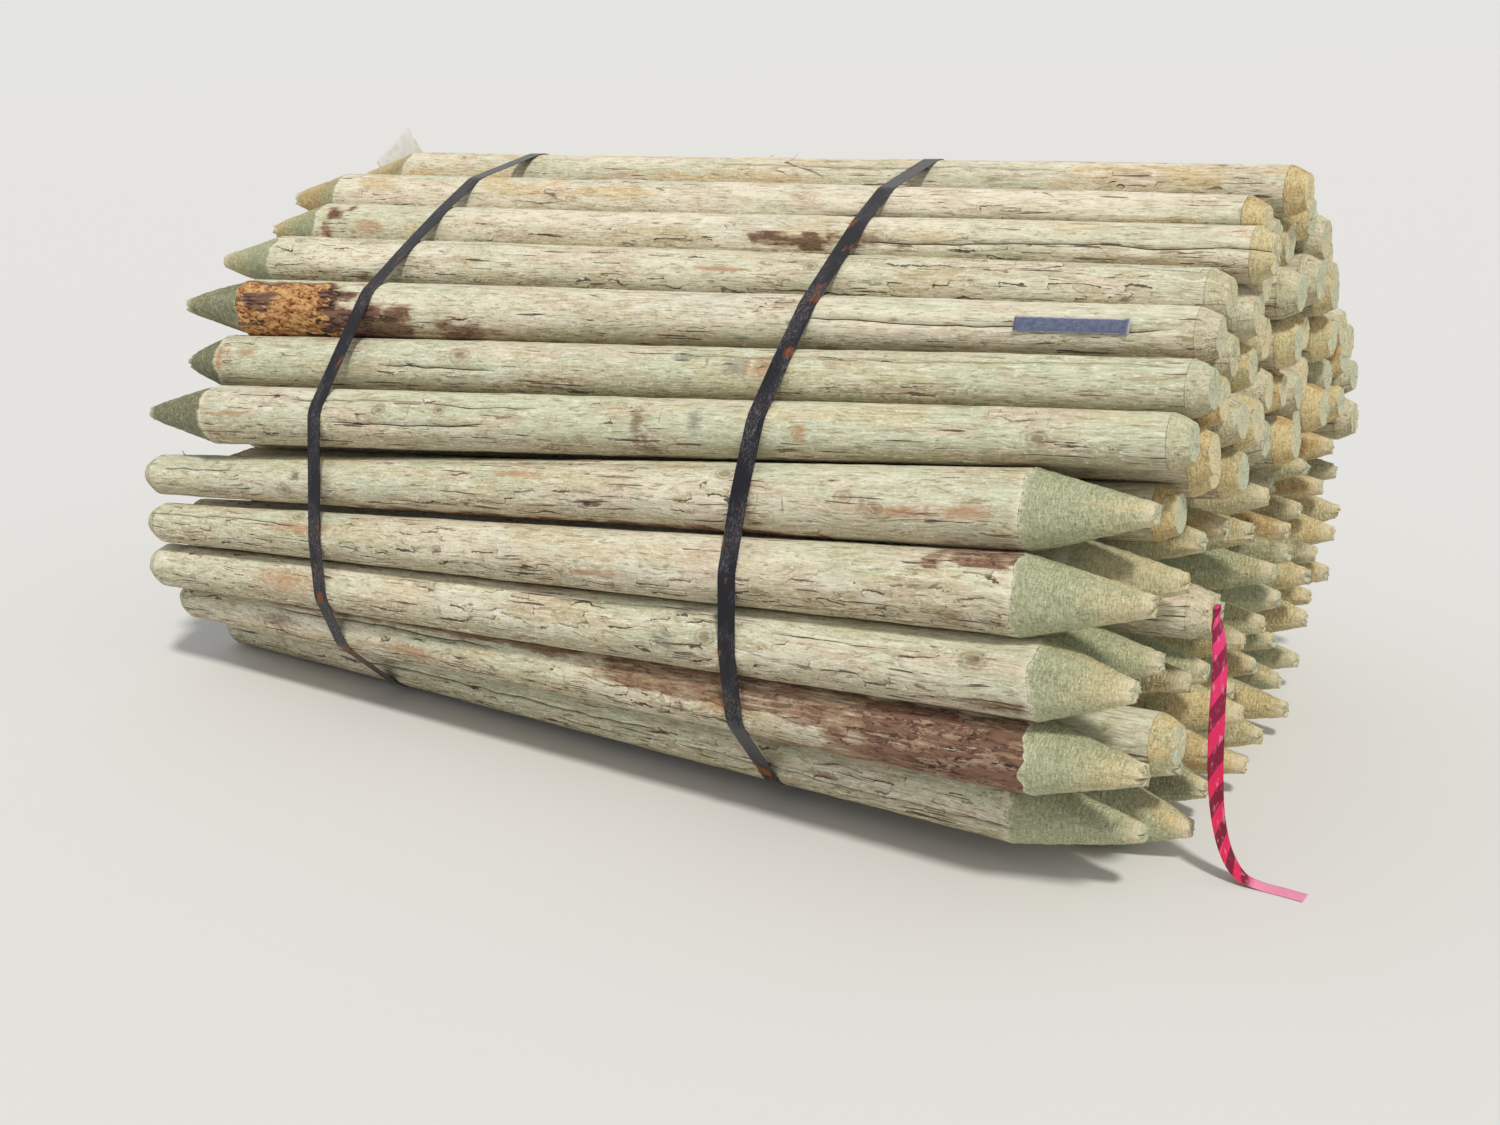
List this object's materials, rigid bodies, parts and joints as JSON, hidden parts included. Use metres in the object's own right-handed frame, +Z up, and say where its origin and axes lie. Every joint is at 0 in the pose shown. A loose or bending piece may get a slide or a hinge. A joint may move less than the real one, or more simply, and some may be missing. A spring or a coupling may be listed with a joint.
{
  "type": "bundle of treated fence posts",
  "caption": "Round pressure-treated fence posts with pointed butts, strapped in one big bundle with two black steel straps, a paper tag and a pink tape.",
  "frame": {"origin": "on the ground, under the middle of the bundle's box", "axes": "+X along the posts, towards the points of the lower half; +Z up"},
  "size_m": [2.3484, 1.4112, 1.0987],
  "materials": {
    "treated_wood": "rough",
    "strap_steel": "gloss",
    "seal_steel": "satin",
    "tag_paper": "matte",
    "tape_film": "satin"
  },
  "bodies": {
    "root": {"lower_posts_layer_1": "treated_wood", "lower_posts_layer_2": "treated_wood", "lower_posts_layer_3": "treated_wood", "lower_posts_layer_4": "treated_wood", "lower_posts_layer_5": "treated_wood", "lower_posts_layer_6": "treated_wood", "upper_posts_layer_1": "treated_wood", "upper_posts_layer_2": "treated_wood", "upper_posts_layer_3": "treated_wood", "upper_posts_layer_4": "treated_wood", "upper_posts_layer_5": "treated_wood", "upper_posts_layer_6": "treated_wood", "left_strap": "strap_steel", "right_strap": "strap_steel", "left_strap_seal": "seal_steel", "right_strap_seal": "seal_steel", "paper_tag": "tag_paper", "flagging_tape": "tape_film"}
  },
  "joints": []
}
